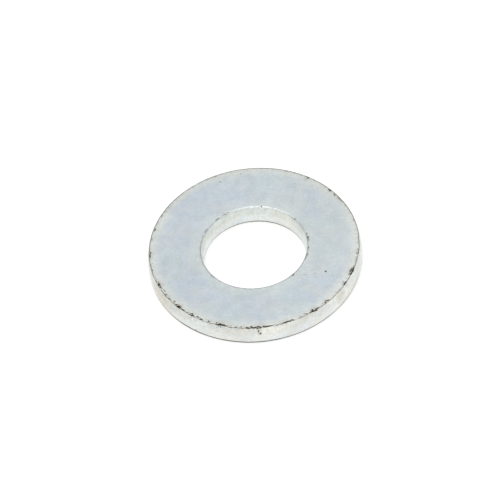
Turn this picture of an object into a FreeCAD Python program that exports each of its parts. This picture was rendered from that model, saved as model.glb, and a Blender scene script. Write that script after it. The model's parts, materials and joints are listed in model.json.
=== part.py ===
import FreeCAD, Part
import os

import Sketcher

# Plain flat washer for an M12 bolt, blanked from steel strip and zinc plated, in millimetres.
#
# The ring lies on its die side: z = 0 is that face, and +Z is the axis of the bore. Blanking
# leaves both walls, outside and in the bore, in three stretches from the bottom up: a rolled
# edge, a straight burnished land, and a fracture taper that ends at the burr side, on top.

NODE = "flat_washer"
SHEET = "dims"
FULL_TURN = 360
HEIGHT_TOLERANCE = 1e-6

# Alias, value and meaning of each driving dimension.
DIMENSIONS = [
    ("outer_diameter", 27.0, "across the outer burnished land"),
    ("bore_diameter", 13.0, "across the bore's burnished land, a medium fit on M12"),
    ("thickness", 2.7, "from the die side to the burr side"),
    ("rolled_edge", 0.2, "radius of both edges of the die side"),
    ("land_top", 1.5, "height where both burnished lands end"),
    ("outer_lean", 0.13, "how far the outer fracture leans in by the burr side"),
    ("bore_lean", 0.18, "how far the bore's fracture leans out by the burr side"),
    ("tumbled_edge", 0.04, "radius that tumbling leaves on both edges of the burr side"),
]


def make_sheet(doc):
    """The spreadsheet of driving dimensions, one row each."""
    sheet = doc.addObject("Spreadsheet::Sheet", SHEET)
    for row, (alias, value, meaning) in enumerate(DIMENSIONS, start=1):
        sheet.set(f"A{row}", alias)
        sheet.set(f"B{row}", str(value))
        sheet.set(f"C{row}", meaning)
        sheet.setAlias(f"B{row}", alias)
    doc.recompute()
    return sheet


def attached_sketch(body, name, role):
    """An empty sketch on the body's own origin plane that has this role."""
    plane = next(plane for plane in body.Origin.OriginFeatures if plane.Role == role)
    sketch = body.newObject("Sketcher::SketchObject", name)
    sketch.AttachmentSupport = [(plane, "")]
    sketch.MapMode = "FlatFace"
    return sketch


def draw_section(sketch, sheet):
    """Half the ring's section, with sharp corners: six sides from the bottom face round."""
    bore = sheet.bore_diameter / 2
    outer = sheet.outer_diameter / 2
    corners = [
        FreeCAD.Vector(bore, 0),
        FreeCAD.Vector(outer, 0),
        FreeCAD.Vector(outer, sheet.land_top),
        FreeCAD.Vector(outer - sheet.outer_lean, sheet.thickness),
        FreeCAD.Vector(bore + sheet.bore_lean, sheet.thickness),
        FreeCAD.Vector(bore, sheet.land_top),
    ]
    for start, end in zip(corners, corners[1:] + corners[:1]):
        sketch.addGeometry(Part.LineSegment(start, end), False)


def constrain_section(sketch):
    """Closes the section, squares it to the sketch's axes and binds its sizes to the sheet."""
    sides = [bottom, outer_land, outer_fracture, top, bore_fracture, bore_land] = list(range(6))
    first, last = 1, 2
    origin, x_axis = (-1, 1), -1
    for side, following in zip(sides, sides[1:] + sides[:1]):
        sketch.addConstraint(Sketcher.Constraint("Coincident", side, last, following, first))
    sketch.addConstraint(Sketcher.Constraint("PointOnObject", bottom, first, x_axis))
    for side in (bottom, top):
        sketch.addConstraint(Sketcher.Constraint("Horizontal", side))
    for side in (outer_land, bore_land):
        sketch.addConstraint(Sketcher.Constraint("Vertical", side))

    sizes = [
        ("bore_radius", "DistanceX", origin, (bottom, first), "bore_diameter / 2"),
        ("outer_radius", "DistanceX", origin, (bottom, last), "outer_diameter / 2"),
        ("height", "DistanceY", origin, (top, first), "thickness"),
        ("outer_land_top", "DistanceY", origin, (outer_land, last), "land_top"),
        ("bore_land_top", "DistanceY", origin, (bore_land, first), "land_top"),
        ("outer_lean", "DistanceX", (outer_fracture, last), (outer_fracture, first), "outer_lean"),
        ("bore_lean", "DistanceX", (bore_fracture, last), (bore_fracture, first), "bore_lean"),
    ]
    for name, kind, start, end, size in sizes:
        measured = sketch.getPoint(*end) - sketch.getPoint(*start)
        value = measured.x if kind == "DistanceX" else measured.y
        index = sketch.addConstraint(Sketcher.Constraint(kind, *start, *end, value))
        sketch.renameConstraint(index, name)
        sketch.setExpression(f"Constraints.{name}", f"{SHEET}.{size}")


def revolve(body, sketch, name):
    """The section turned once about the bore's axis, which is the sketch's upright axis."""
    ring = body.newObject("PartDesign::Revolution", name)
    ring.Profile = sketch
    ring.ReferenceAxis = (sketch, ["V_Axis"])
    ring.Angle = FULL_TURN
    body.Document.recompute()
    return ring


def rims_at(shape, height):
    """Names of the edges that lie flat at this height."""
    return [
        f"Edge{number}"
        for number, edge in enumerate(shape.Edges, start=1)
        if max(abs(vertex.Z - height) for vertex in edge.Vertexes) < HEIGHT_TOLERANCE
        and edge.BoundBox.ZLength < HEIGHT_TOLERANCE
    ]


def round_rims(body, base, name, height, radius):
    """Rounds the outer and the bore rim at one height to a radius from the sheet."""
    fillet = body.newObject("PartDesign::Fillet", name)
    fillet.Base = (base, rims_at(base.Shape, height))
    fillet.setExpression("Radius", f"{SHEET}.{radius}")
    body.Document.recompute()
    return fillet


def make_washer(doc, sheet):
    """The whole washer: a blanked ring with rolled edges below and tumbled edges on top."""
    body = doc.addObject("PartDesign::Body", NODE)
    body.Label = NODE
    section = attached_sketch(body, "section", "XZ_Plane")
    draw_section(section, sheet)
    constrain_section(section)
    doc.recompute()
    ring = revolve(body, section, "blanked_ring")
    rolled = round_rims(body, ring, "rolled_edges", 0, "rolled_edge")
    round_rims(body, rolled, "tumbled_edges", sheet.thickness, "tumbled_edge")
    body.Placement = FreeCAD.Placement()
    return body


def check(doc, body):
    """Stops if a feature failed, or if the washer isn't one valid solid."""
    failed = [item.Name for item in doc.Objects if {"Invalid", "Error"} & set(item.State)]
    if failed:
        raise RuntimeError(f"features that failed: {failed}")
    if body.Shape.isNull() or not body.Shape.isValid() or len(body.Shape.Solids) != 1:
        raise RuntimeError(f"{body.Label} isn't one valid solid")


doc = FreeCAD.newDocument("washer")
washer = make_washer(doc, make_sheet(doc))
doc.recompute()
check(doc, washer)
os.makedirs("parts", exist_ok=True)
washer.Shape.exportStep(f"parts/{washer.Label}.step")
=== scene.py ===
import json
from collections import namedtuple
from math import cos, degrees, exp, hypot, pi, radians, sin

import bpy
from mathutils import Matrix, Vector, noise


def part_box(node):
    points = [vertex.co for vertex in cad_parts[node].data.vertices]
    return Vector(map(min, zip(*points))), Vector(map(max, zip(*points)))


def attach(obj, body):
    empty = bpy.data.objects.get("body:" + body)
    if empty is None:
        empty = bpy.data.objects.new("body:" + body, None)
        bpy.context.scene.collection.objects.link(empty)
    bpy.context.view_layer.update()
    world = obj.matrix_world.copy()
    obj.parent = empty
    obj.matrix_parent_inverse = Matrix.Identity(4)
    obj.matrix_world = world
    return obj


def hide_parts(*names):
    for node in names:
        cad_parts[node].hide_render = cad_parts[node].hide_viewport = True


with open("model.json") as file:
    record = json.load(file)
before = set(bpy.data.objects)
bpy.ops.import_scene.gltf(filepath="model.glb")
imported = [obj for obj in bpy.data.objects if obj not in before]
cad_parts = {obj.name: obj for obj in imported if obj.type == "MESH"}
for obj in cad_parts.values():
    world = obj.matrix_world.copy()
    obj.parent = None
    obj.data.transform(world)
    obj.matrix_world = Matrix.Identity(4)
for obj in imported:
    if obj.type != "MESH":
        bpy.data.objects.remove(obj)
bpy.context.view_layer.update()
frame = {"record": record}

# Flat washer: one blanked and zinc-plated ring on a pale floor, in metres.
#
# The ring's visible mesh replaces the plain CAD ring. It has nearly the same section, with
# rounder burr edges, and adds what blanking, tumbling, plating and handling leave on it: a
# rough fracture on the upper walls, crumbled and dirty burr edges, a slightly dubbed rim, marks
# and stains. Painted shade is added too: a dark contact shadow, partly dirt, along the foot, and
# a broad warm shade on the left of the outer wall.

NODE = "flat_washer"
MM = 0.001

# The ring's section, in millimetres like all sizes up to the mesh itself.
low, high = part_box(NODE)
OUTER = (high[0] - low[0]) / 2 / MM
THICK = (high[2] - low[2]) / MM
BORE = next(mount for mount in frame["record"]["mounts"] if mount["name"] == "bore")["dims"]["r_mm"]
ROLLED_EDGE = 0.2  # radius of the die side's edges
LAND_TOP = 1.5  # height where the burnished lands end and the fractures begin
RIM = OUTER - 0.13  # radii of the outer and the bore's burr edge
BORE_RIM = BORE + 0.17
RIM_ROUND = 0.07  # radii that tumbling leaves on those two edges
BORE_ROUND = 0.2
BAND = 0.6  # width of the dubbed band inside the outer burr edge, and its drop at the edge
BAND_DROP = 0.012
BORE_BAND = 0.5  # width of the band beside the bore's burr edge that can crumble
TORN = 0.4  # height and lean of the most torn strip, right under the outer burr edge
TORN_LEAN = 0.04
FOOT = 0.5  # height of the stretch at the foot of both walls that takes the painted contact shadow and dirt
SEGMENTS = 1120

Station = namedtuple("Station", "radius height zone")


# ---------------------------------------------------------------- section

def stretch(start, end, count, zone):
    """Stations evenly spaced from start up to, but not including, end."""
    stations = []
    for index in range(count):
        share = index / count
        radius = start[0] + (end[0] - start[0]) * share
        height = start[1] + (end[1] - start[1]) * share
        stations.append(Station(radius, height, zone))
    return stations


def rounding(centre, size, start, end, count, zone):
    """Stations round an edge, from one angle up to, but not including, the other."""
    stations = []
    for index in range(count):
        angle = radians(start + (end - start) * index / count)
        radius = centre[0] + size * cos(angle)
        height = centre[1] + size * sin(angle)
        stations.append(Station(radius, height, zone))
    return stations


def ring_section():
    """The closed section, from the bore's burr edge outwards over the top and round."""
    rim_top = THICK - BAND_DROP
    rim_side = rim_top - RIM_ROUND
    torn_side = rim_side - TORN
    return (
        rounding((BORE_RIM + BORE_ROUND, THICK - BORE_ROUND), BORE_ROUND, 180, 90, 8, "bore_rim")
        + stretch((BORE_RIM + BORE_ROUND, THICK), (BORE_RIM + BORE_BAND, THICK), 7, "bore_rim")
        + stretch((BORE_RIM + BORE_BAND, THICK), (RIM - BAND, THICK), 8, "face")
        + stretch((RIM - BAND, THICK), (RIM - RIM_ROUND, rim_top), 14, "rim")
        + rounding((RIM - RIM_ROUND, rim_side), RIM_ROUND, 90, 0, 3, "rim")
        + stretch((RIM, rim_side), (RIM + TORN_LEAN, torn_side), 7, "fracture")
        + stretch((RIM + TORN_LEAN, torn_side), (OUTER, LAND_TOP), 6, "fracture")
        + stretch((OUTER, LAND_TOP), (OUTER, FOOT), 3, "land")
        + stretch((OUTER, FOOT), (OUTER, ROLLED_EDGE), 3, "foot")
        + rounding((OUTER - ROLLED_EDGE, ROLLED_EDGE), ROLLED_EDGE, 0, -90, 6, "foot")
        + stretch((OUTER - ROLLED_EDGE, 0), (BORE + ROLLED_EDGE, 0), 6, "under")
        + rounding((BORE + ROLLED_EDGE, ROLLED_EDGE), ROLLED_EDGE, -90, -180, 5, "foot")
        + stretch((BORE, ROLLED_EDGE), (BORE, FOOT), 3, "foot")
        + stretch((BORE, FOOT), (BORE, LAND_TOP), 2, "land")
        + stretch((BORE, LAND_TOP), (BORE_RIM, THICK - BORE_ROUND), 8, "fracture")
    )


def section_normals(section):
    """The outward direction at each station, as (radial, upward)."""
    normals = []
    for index, _ in enumerate(section):
        before = section[index - 1]
        after = section[(index + 1) % len(section)]
        along = (after.radius - before.radius, after.height - before.height)
        length = hypot(*along)
        normals.append((-along[1] / length, along[0] / length))
    return normals


# ---------------------------------------------------------------- relief

# Stretches of each burr edge that crumbled most: angle and half-width in degrees, and strength.
WORN_OUTER = (
    (250, 75, 0.6), (219, 3, 1.0), (229, 5, 0.75), (246, 5, 0.9), (268, 9, 0.85), (283, 4, 0.8),
    (300, 4, 0.9), (309, 4, 0.6), (325, 2, 0.8), (334, 4, 0.9), (349, 3, 0.5), (199, 5, 0.8),
    (176, 4, 0.7), (164, 2, 0.5), (158, 3, 0.6), (146, 6, 0.45), (54, 1.5, 0.9), (38, 1.5, 0.7),
    (32, 5, 0.5), (18, 2, 0.4),
)
WORN_BORE = (
    (6, 8, 0.85), (22, 7, 0.5), (36, 3, 0.75), (77, 1, 0.7), (118, 4, 0.7), (128, 5, 0.6),
    (146, 9, 0.55), (215, 6, 0.5), (310, 4, 0.65), (339, 6, 0.6), (352, 5, 0.5),
)
LEAST_WEAR = 0.2
OUTER_STRIP = (0.19, 0.19)  # the strip that crumbles: how far inside the edge, and half-width
BORE_STRIP = (0.2, 0.12)
BORE_SHARE = 0.75  # how dirty the bore's edge is beside the outer one
CRUMB_DEPTH = 0.06  # depth of the dirtiest spots
FOOT_SHADOW_LINE = (0.17, 0.125)  # the painted contact shadow, partly dirt, along the foot: height and half-width
SWAY = 0.005  # how far the surfaces wander either way, about a level just as far inwards
TORN_GRAIN = 0.010  # height of the fracture's coarse grain, and of its fine one
TORN_FINE_GRAIN = 0.005


def smooth_step(edge_low, edge_high, value):
    """A smooth rise from 0 to 1 as the value goes from the low edge to the high one."""
    share = min(max((value - edge_low) / (edge_high - edge_low), 0.0), 1.0)
    return share * share * (3 - 2 * share)


def bell(away, half_width):
    """A smooth hump that is 1 in its middle and nearly 0 two half-widths away."""
    return exp(-(away / half_width) ** 2)


def turned(angle, centre):
    """The turn from a centre angle to this one, in degrees from -180 to 180."""
    return (angle - centre + 180) % 360 - 180


def worn(angle, stretches):
    """How far the edge has crumbled at this angle in degrees, from 0 to about 1."""
    peaks = [peak * bell(turned(angle, centre), width) for centre, width, peak in stretches]
    return max(LEAST_WEAR, *peaks)


def crumbs(turn, inward, wear, strip):
    """Grime of the broken edge, 0 to 1, at a distance inward from the corner.

    turn is the point's place along the edge, as a vector round the rim in millimetres.
    Two fine cracks follow the edge, crumbs have broken out between and around them, and a haze
    of dirt has settled inside them.
    """
    centre, half_width = strip
    offset = (inward - centre - 0.06 * noise.noise(turn * 0.7)) / half_width
    lengthwise = Vector((turn.x * 2.4, turn.y * 2.4, turn.z + inward * 6.0))
    grain = noise.noise(lengthwise) + 0.8 * noise.noise(lengthwise * 2.0)
    depth = 0.2 + 0.8 * wear
    broken = depth * smooth_step(0.0, 0.5, grain + 0.8 * wear - 0.2 - 0.3 * offset * offset)
    corner_crack = bell(offset + 0.5, 0.35) * smooth_step(-1.0, -0.1, noise.noise(turn * 1.3))
    inner_crack = wear * bell(offset - 0.6, 0.25) * smooth_step(-0.1, 0.4, noise.noise(turn * 0.8))
    cracks = max((0.48 + 0.1 * wear) * corner_crack, 0.8 * inner_crack)
    haze = 0.26 * wear * bell(offset - 1.4, 2.5)
    return max(broken, cracks, haze)


def edge_grime(angle, across, inward, outside):
    """Grime of the nearest burr edge at a signed distance inward from its corner."""
    if outside:
        turn = Vector((*across, 0)) * RIM
        return crumbs(turn, inward, worn(angle, WORN_OUTER), OUTER_STRIP)
    turn = Vector((*across, 1)) * BORE_RIM
    return BORE_SHARE * crumbs(turn, inward, worn(angle, WORN_BORE), BORE_STRIP)


def drip(turn, depth):
    """Narrow marks that run down the wall from the burr edge."""
    return 0.35 * smooth_step(0.25, 0.55, noise.noise(turn * 1.9)) * bell(depth, 0.45)


def flecks(wear, point, depth):
    """Small specks of dirt on the torn wall, more of them where its edge has crumbled."""
    return 0.6 * wear * wear * smooth_step(0.15, 0.45, noise.noise(point * 4.2)) * bell(depth, 0.75)


def foot_shadow_and_dirt(angle, outside, point):
    """Painted contact shadow, partly dirt, where a wall meets the surface under it, darkest in front
    and at the bore's back.
    """
    height, half_width = FOOT_SHADOW_LINE
    if outside:
        strength = 0.52 + 0.38 * bell(turned(angle, 246), 40)
        half_width += 0.06 * bell(turned(angle, 223), 9)
    else:
        strength = 0.37 + 0.33 * bell(turned(angle, 66), 35)
    return (strength + 0.15 * noise.noise(point * 0.8)) * bell(point.z - height, half_width)


def relief(point, angle, across, station):
    """Outward displacement in millimetres, and grime with painted shade at the foot from 0 to 1, at
    one vertex.
    """
    outside = station.radius > (OUTER + BORE) / 2
    lift = SWAY * (noise.noise(point * 0.3) - 1)
    if station.zone == "foot":
        return lift, foot_shadow_and_dirt(angle, outside, point)
    if station.zone in ("land", "under"):
        return lift, 0.0
    if station.zone == "fracture":
        depth = THICK - station.height
        upright = Vector((point.x * 2.4, point.y * 2.4, point.z * 0.9))
        lift += TORN_GRAIN * noise.noise(upright)
        lift += TORN_FINE_GRAIN * noise.noise(upright * 2.3)
        marks = drip(Vector((*across, 2)) * station.radius, depth)
        specks = flecks(worn(angle, WORN_OUTER if outside else WORN_BORE), point, depth)
        grime = max(edge_grime(angle, across, -depth, outside), marks, specks)
    else:
        inward = RIM - station.radius if outside else station.radius - BORE_RIM
        grime = edge_grime(angle, across, inward, outside)
    return lift - CRUMB_DEPTH * grime, grime


# ---------------------------------------------------------------- mesh

def ring_mesh():
    """The closed ring: every station of the section carried round, with its relief, grime and
    painted foot shadow.
    """
    section = ring_section()
    normals = section_normals(section)
    count = len(section)
    vertices = []
    grimes_and_shade = []
    for segment in range(SEGMENTS):
        angle = 2 * pi * segment / SEGMENTS
        across = (cos(angle), sin(angle))
        for station, (outward, upward) in zip(section, normals):
            point = Vector((station.radius * across[0], station.radius * across[1], station.height))
            lift, grime = relief(point, degrees(angle), across, station)
            radius = station.radius + outward * lift
            height = station.height + upward * lift
            vertices.append((radius * across[0] * MM, radius * across[1] * MM, height * MM))
            grimes_and_shade.append(grime)
    faces = []
    for segment in range(SEGMENTS):
        here = segment * count
        beyond = (segment + 1) % SEGMENTS * count
        for index in range(count):
            following = (index + 1) % count
            faces.append((here + index, here + following, beyond + following, beyond + index))
    mesh = bpy.data.meshes.new("washer_ring")
    mesh.from_pydata(vertices, [], faces)
    mesh.attributes.new("grime", "FLOAT", "POINT").data.foreach_set("value", grimes_and_shade)
    mesh.shade_smooth()
    return mesh


def make_ring():
    """The visible ring, which stands for the CAD washer."""
    ring = bpy.data.objects.new("washer_ring", ring_mesh())
    bpy.context.scene.collection.objects.link(ring)
    ring.data.materials.append(zinc_material())
    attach(ring, "root")
    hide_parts(NODE)
    return ring


# ---------------------------------------------------------------- materials

class Graph:
    """Short ways to add nodes to one node tree and wire them up."""

    def __init__(self, tree):
        self.tree = tree
        tree.nodes.clear()

    def node(self, kind, **settings):
        added = self.tree.nodes.new(kind)
        for name, value in settings.items():
            setattr(added, name, value)
        return added

    def feed(self, socket, value):
        if isinstance(value, bpy.types.NodeSocket):
            self.tree.links.new(value, socket)
        else:
            socket.default_value = value

    def math(self, operation, first, second=0.0):
        added = self.node("ShaderNodeMath", operation=operation)
        self.feed(added.inputs[0], first)
        self.feed(added.inputs[1], second)
        return added.outputs[0]

    def step(self, value, start, end, low_value=0.0, high_value=1.0):
        """A smooth change from low_value to high_value as value goes from start to end."""
        added = self.node("ShaderNodeMapRange", interpolation_type="SMOOTHSTEP")
        limits = (value, start, end, low_value, high_value)
        for socket, limit in zip(added.inputs, limits):
            self.feed(socket, limit)
        return added.outputs[0]

    def stretched(self, vector, scales):
        added = self.node("ShaderNodeVectorMath", operation="MULTIPLY")
        self.feed(added.inputs[0], vector)
        added.inputs[1].default_value = scales
        return added.outputs[0]

    def height(self, vector):
        """The vector's upward part."""
        parts = self.node("ShaderNodeSeparateXYZ")
        self.feed(parts.inputs[0], vector)
        return parts.outputs["Z"]

    def reach(self, place):
        """The place's distance from the bore's axis."""
        length = self.node("ShaderNodeVectorMath", operation="LENGTH")
        self.feed(length.inputs[0], self.stretched(place, (1, 1, 0)))
        return length.outputs["Value"]

    def grain(self, vector, scale, detail=2.0):
        """Noise around 0.5 whose features are about 1/scale across."""
        added = self.node("ShaderNodeTexNoise")
        self.feed(added.inputs["Vector"], vector)
        added.inputs["Scale"].default_value = scale
        added.inputs["Detail"].default_value = detail
        return added.outputs["Fac"]

    def spots(self, place, marks):
        """The strongest of some soft oval marks at this place."""
        strongest = 0.0
        for centre, sizes, strength in marks:
            away = self.node("ShaderNodeVectorMath", operation="SUBTRACT")
            self.feed(away.inputs[0], place)
            away.inputs[1].default_value = centre
            reach = self.node("ShaderNodeVectorMath", operation="LENGTH")
            self.feed(reach.inputs[0], self.stretched(away.outputs[0], [1 / size for size in sizes]))
            mark = self.step(reach.outputs["Value"], 1.0, 0.3, 0.0, strength)
            strongest = self.math("MAXIMUM", mark, strongest)
        return strongest

    def swing(self, noise_value, size):
        """A factor near 1 that follows noise centred on 0.5."""
        return self.math("ADD", self.math("MULTIPLY", noise_value, size), 1 - size / 2)

    def scaled(self, colour, factor):
        added = self.node("ShaderNodeVectorMath", operation="SCALE")
        self.feed(added.inputs[0], colour)
        self.feed(added.inputs["Scale"], factor)
        return added.outputs[0]

    def blend(self, share, first, second):
        """From the first colour to the second, through the Mix node's sockets for colours."""
        added = self.node("ShaderNodeMix", data_type="RGBA")
        self.feed(added.inputs["Factor"], share)
        self.feed(added.inputs[6], first)
        self.feed(added.inputs[7], second)
        return added.outputs[2]


# Colours of the plating and of what lies on it, in linear light.
FACE_BLUE = (0.530, 0.597, 0.662, 1)
FACE_WARM = (0.574, 0.607, 0.613, 1)
FACE_GREEN = (0.542, 0.610, 0.634, 1)
BAND_CREAM = (0.640, 0.668, 0.646, 1)
FRACTURE_WARM = (0.698, 0.698, 0.646, 1)
FRACTURE_COOL = (0.666, 0.702, 0.686, 1)
LAND_WARM = (0.710, 0.710, 0.672, 1)
LAND_COOL = (0.682, 0.714, 0.710, 1)
# Yellow of the rust, which also paints the broad shade on the left of the outer wall.
RUST_AND_SHADE_YELLOW = (0.52, 0.47, 0.33, 1)
# The two grime colours also paint the contact shadow along the foot of both walls.
GRIME_AND_SHADE_BROWN = (0.20, 0.185, 0.15, 1)
GRIME_AND_SHADE_DARK = (0.025, 0.023, 0.018, 1)

# Factors on them: the cast of the bore's wall, and the brighter polish of both lands.
BORE_TINT = (0.99, 1.012, 1.016)
LAND_POLISH = 1.045

# Mottling of the whole plating's brightness: scale, detail and size of each layer.
MOTTLING = ((0.13, 1.0, 0.16), (0.7, 4.0, 0.27), (4.0, 3.0, 0.32))


def on_wall(angle, height):
    """A place on the outer wall, from its angle in degrees and its height."""
    return OUTER * cos(radians(angle)), OUTER * sin(radians(angle)), height


# Soft oval marks on the plating: place, sizes across, forward and up, and strength.
# First dark pits and fine scratches, then yellowish stains with one broad painted shade on the left
# of the outer wall, then broad tints of the top face.
PITS = (
    ((8.6, -5.3, THICK), (0.18, 0.18, 0.3), 0.9),
    ((7.2, -5.4, THICK), (0.45, 0.08, 0.3), 0.32),
    ((6.0, -5.45, THICK), (0.45, 0.08, 0.3), 0.32),
    ((6.9, -4.9, THICK), (0.3, 0.07, 0.3), 0.28),
    ((-11.5, -3.1, THICK), (0.35, 0.2, 0.3), 0.15),
    ((-3.35, 11.55, THICK), (0.17, 0.2, 0.3), 0.4),
    ((-0.6, 12.55, THICK), (0.12, 0.14, 0.3), 0.4),
    ((-9.25, 5.15, THICK), (0.12, 0.3, 0.3), 0.18),
    ((-11.3, 1.4, THICK), (0.12, 0.3, 0.3), 0.16),
    ((6.1, 9.8, THICK), (0.12, 0.2, 0.3), 0.2),
    (on_wall(231.5, 0.45), (0.15, 0.3, 0.15), 0.5),
    (on_wall(268.2, 1.75), (0.2, 0.5, 0.2), 0.8),
    (on_wall(267.3, 2.2), (0.13, 0.5, 0.4), 0.6),
)
RUST_AND_SHADE = (
    (on_wall(267.5, 2.1), (0.4, 0.6, 0.7), 0.5),
    (on_wall(319, 1.7), (1.3, 1.3, 1.2), 0.33),
    (on_wall(220, 2.2), (0.4, 0.4, 0.4), 0.4),
    # Not a stain but painted shade: a broad darker, warmer patch on the left of the outer wall.
    (on_wall(203, 1.2), (3.0, 3.8, 1.6), 0.4),
    (on_wall(331, 0.7), (2.8, 2.8, 0.6), 0.25),
)
BLUE_PATCHES = (((-6, 7, THICK), (10, 9, 4), 0.4), ((0, -9.5, THICK), (5, 3, 4), 0.3))
WARM_PATCHES = (((10.5, -1.5, THICK), (6, 8, 4), 0.3), ((4.5, 6.5, THICK), (4, 3, 4), 0.45))

Zones = namedtuple("Zones", "flat rim fracture")


def zinc_zones(graph, place):
    """How flat, how near the rims and how far above the lands the surface is, each 0 to 1."""
    normal = graph.node("ShaderNodeNewGeometry").outputs["Normal"]
    flat = graph.step(graph.math("ABSOLUTE", graph.height(normal)), 0.55, 0.9)
    wander = graph.math("MULTIPLY", graph.math("SUBTRACT", graph.grain(place, 0.5), 0.5), 1.2)
    reach = graph.math("ADD", graph.reach(place), wander)
    rim = graph.step(reach, RIM - 1.7, RIM - 0.3)
    bore_rim = graph.step(reach, BORE_RIM + 2.2, BORE_RIM + 0.3, 0.0, 0.4)
    tongues = graph.grain(graph.stretched(place, (1.0, 1.0, 0.4)), 0.8, 3.0)
    torn = graph.math("ADD", graph.height(place), tongues)
    fracture = graph.step(torn, LAND_TOP + 0.35, LAND_TOP + 0.6)
    return Zones(flat, graph.math("MAXIMUM", rim, bore_rim), fracture)


def face_colour(graph, place, rim):
    """Mottled blue with a cast of grey and green, some broad tints, and paler near both rims."""
    clouds = graph.step(graph.grain(place, 0.36, 4.0), 0.35, 0.65)
    tints = graph.step(graph.grain(graph.stretched(place, (1, -1, 1)), 0.25, 2.0), 0.4, 0.65)
    mottled = graph.blend(tints, graph.blend(clouds, FACE_BLUE, FACE_WARM), FACE_GREEN)
    mottled = graph.blend(graph.spots(place, BLUE_PATCHES), mottled, FACE_BLUE)
    mottled = graph.blend(graph.spots(place, WARM_PATCHES), mottled, FACE_WARM)
    return graph.blend(rim, mottled, BAND_CREAM)


def wall_colour(graph, place, fracture):
    """Warm and cool patches, duller and streaked where the wall is torn, cooler in the bore."""
    layers = graph.grain(graph.stretched(place, (0.3, 0.3, 1.2)), 1.0, 3.0)
    patches = graph.step(layers, 0.38, 0.62)
    torn = graph.blend(patches, FRACTURE_WARM, FRACTURE_COOL)
    land = graph.blend(patches, LAND_WARM, LAND_COOL)
    streaks = graph.swing(graph.grain(graph.stretched(place, (3.0, 3.0, 1.2)), 1.0, 3.0), 0.36)
    wall = graph.blend(fracture, land, graph.scaled(torn, streaks))
    polish = graph.step(graph.height(place), LAND_TOP - 0.2, FOOT + 0.1, 1.0, LAND_POLISH)
    wall = graph.scaled(wall, polish)
    in_bore = graph.step(graph.reach(place), (OUTER + BORE) / 2, BORE)
    wall = graph.blend(in_bore, wall, graph.stretched(wall, BORE_TINT))
    return graph.scaled(wall, graph.swing(graph.grain(place, 0.25, 2.0), 0.18))


def zinc_colour(graph, place, zones, grime):
    """Faces and walls with their mottling, rust and dirt, and painted shade on the left wall and
    along the foot.
    """
    wall = wall_colour(graph, place, zones.fracture)
    plate = graph.blend(zones.flat, wall, face_colour(graph, place, zones.rim))
    for scale, detail, size in MOTTLING:
        plate = graph.scaled(plate, graph.swing(graph.grain(place, scale, detail), size))
    # Rust stains, and the broad painted shade on the left of the outer wall.
    plate = graph.blend(graph.spots(place, RUST_AND_SHADE), plate, RUST_AND_SHADE_YELLOW)
    # Dark grime on the burr edges, and painted contact shadow along the foot of both walls.
    stained = graph.blend(graph.step(grime, 0.05, 0.55), plate, GRIME_AND_SHADE_BROWN)
    return graph.blend(graph.step(grime, 0.42, 0.88), stained, GRIME_AND_SHADE_DARK)


def zinc_material():
    """Bright zinc plate: satin faces, glossier burnished lands and dull torn fractures."""
    material = bpy.data.materials.new("zinc_plate")
    material.use_nodes = True
    graph = Graph(material.node_tree)
    place = graph.stretched(graph.node("ShaderNodeTexCoord").outputs["Object"], (1 / MM,) * 3)
    mesh_grime_and_shade = graph.node("ShaderNodeAttribute", attribute_name="grime").outputs["Fac"]
    grime = graph.math("MAXIMUM", mesh_grime_and_shade, graph.spots(place, PITS))
    zones = zinc_zones(graph, place)

    ripple = graph.grain(place, 3.0, 3.0)
    bump = graph.node("ShaderNodeBump")
    bump.inputs["Strength"].default_value = 0.15
    bump.inputs["Distance"].default_value = 0.05 * MM
    graph.feed(bump.inputs["Height"], ripple)

    shader = graph.node("ShaderNodeBsdfPrincipled")
    graph.feed(shader.inputs["Base Color"], zinc_colour(graph, place, zones, grime))
    shader.inputs["Metallic"].default_value = 1.0
    wall_roughness = graph.step(zones.fracture, 0.0, 1.0, 0.3, 0.46)
    roughness = graph.step(zones.flat, 0.0, 1.0, wall_roughness, 0.4)
    for change in (graph.step(ripple, 0.3, 0.7, -0.04, 0.04), graph.math("MULTIPLY", grime, 0.3)):
        roughness = graph.math("ADD", roughness, change)
    graph.feed(shader.inputs["Roughness"], roughness)
    graph.feed(shader.inputs["Normal"], bump.outputs[0])
    output = graph.node("ShaderNodeOutputMaterial")
    graph.feed(output.inputs["Surface"], shader.outputs[0])
    return material


def floor_material():
    """A plain white light table, which glows enough to drown most of the shadow."""
    material = bpy.data.materials.new("floor_card")
    material.use_nodes = True
    shader = material.node_tree.nodes["Principled BSDF"]
    shader.inputs["Base Color"].default_value = (0.44, 0.44, 0.44, 1)
    shader.inputs["Roughness"].default_value = 0.9
    shader.inputs["Specular IOR Level"].default_value = 0.2
    shader.inputs["Emission Color"].default_value = (1, 1, 1, 1)
    shader.inputs["Emission Strength"].default_value = 0.6
    return material


# ---------------------------------------------------------------- studio

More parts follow.
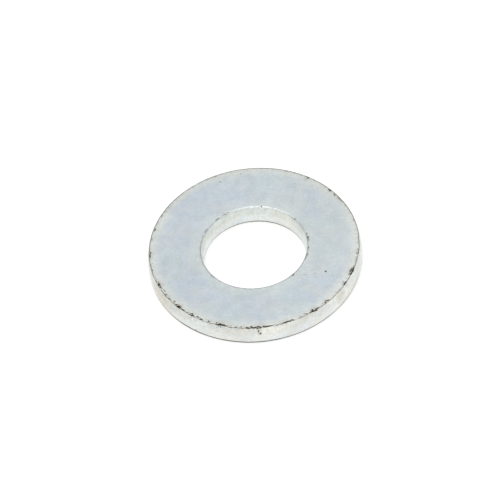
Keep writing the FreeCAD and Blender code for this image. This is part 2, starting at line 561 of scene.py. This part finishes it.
def make_floor():
    """A level square under the ring, large enough to fill the view's floor."""
    half = 3.0
    mesh = bpy.data.meshes.new("floor")
    corners = [(-half, -half, 0), (half, -half, 0), (half, half, 0), (-half, half, 0)]
    mesh.from_pydata(corners, [], [(0, 1, 2, 3)])
    floor = bpy.data.objects.new("floor", mesh)
    bpy.context.scene.collection.objects.link(floor)
    mesh.materials.append(floor_material())


def make_world():
    """A white studio that is a little darker towards the horizon."""
    world = bpy.data.worlds.new("studio")
    bpy.context.scene.world = world
    world.use_nodes = True
    graph = Graph(world.node_tree)
    upward = graph.height(graph.node("ShaderNodeTexCoord").outputs["Generated"])
    background = graph.node("ShaderNodeBackground")
    background.inputs["Color"].default_value = (1, 1, 1, 1)
    graph.feed(background.inputs["Strength"], graph.step(upward, 0.0, 0.8, 0.6, 0.95))
    output = graph.node("ShaderNodeOutputWorld")
    graph.feed(output.inputs["Surface"], background.outputs[0])


def make_softbox():
    """One large round softbox overhead, a little to the left."""
    light = bpy.data.lights.new("softbox", "AREA")
    light.shape = "DISK"
    light.size = 1.0
    light.energy = 6.0
    box = bpy.data.objects.new("softbox", light)
    box.location = (-0.15, -0.1, 1.2)
    box.rotation_euler = (-box.location).to_track_quat("-Z", "Y").to_euler()
    bpy.context.scene.collection.objects.link(box)


def make_camera():
    """The photograph's view: from the front, 49 degrees up, far off and slightly rolled."""
    elevation = radians(49.2)
    roll = radians(-6.51)
    distance = 68 * OUTER * MM
    shown = 4.675 * OUTER * MM  # the view's width at the ring
    back = Vector((0, -cos(elevation), sin(elevation)))
    level = Vector((1, 0, 0))
    upright = back.cross(level)
    right = cos(roll) * level + sin(roll) * upright
    above = -sin(roll) * level + cos(roll) * upright
    middle = Vector((0, 0, THICK / 2 * MM))
    aim = middle + (0.0395 * above - 0.0450 * right) * OUTER * MM
    camera = bpy.data.objects.new("camera", bpy.data.cameras.new("camera"))
    camera.data.sensor_width = 36.0
    camera.data.lens = camera.data.sensor_width * distance / shown
    camera.data.clip_start = 0.01
    facing = Matrix((right, above, back)).transposed().to_4x4()
    camera.matrix_world = Matrix.Translation(aim + distance * back) @ facing
    bpy.context.scene.collection.objects.link(camera)
    bpy.context.scene.camera = camera


make_ring()
make_floor()
make_world()
make_softbox()
make_camera()
bpy.context.scene.view_settings.view_transform = "Standard"
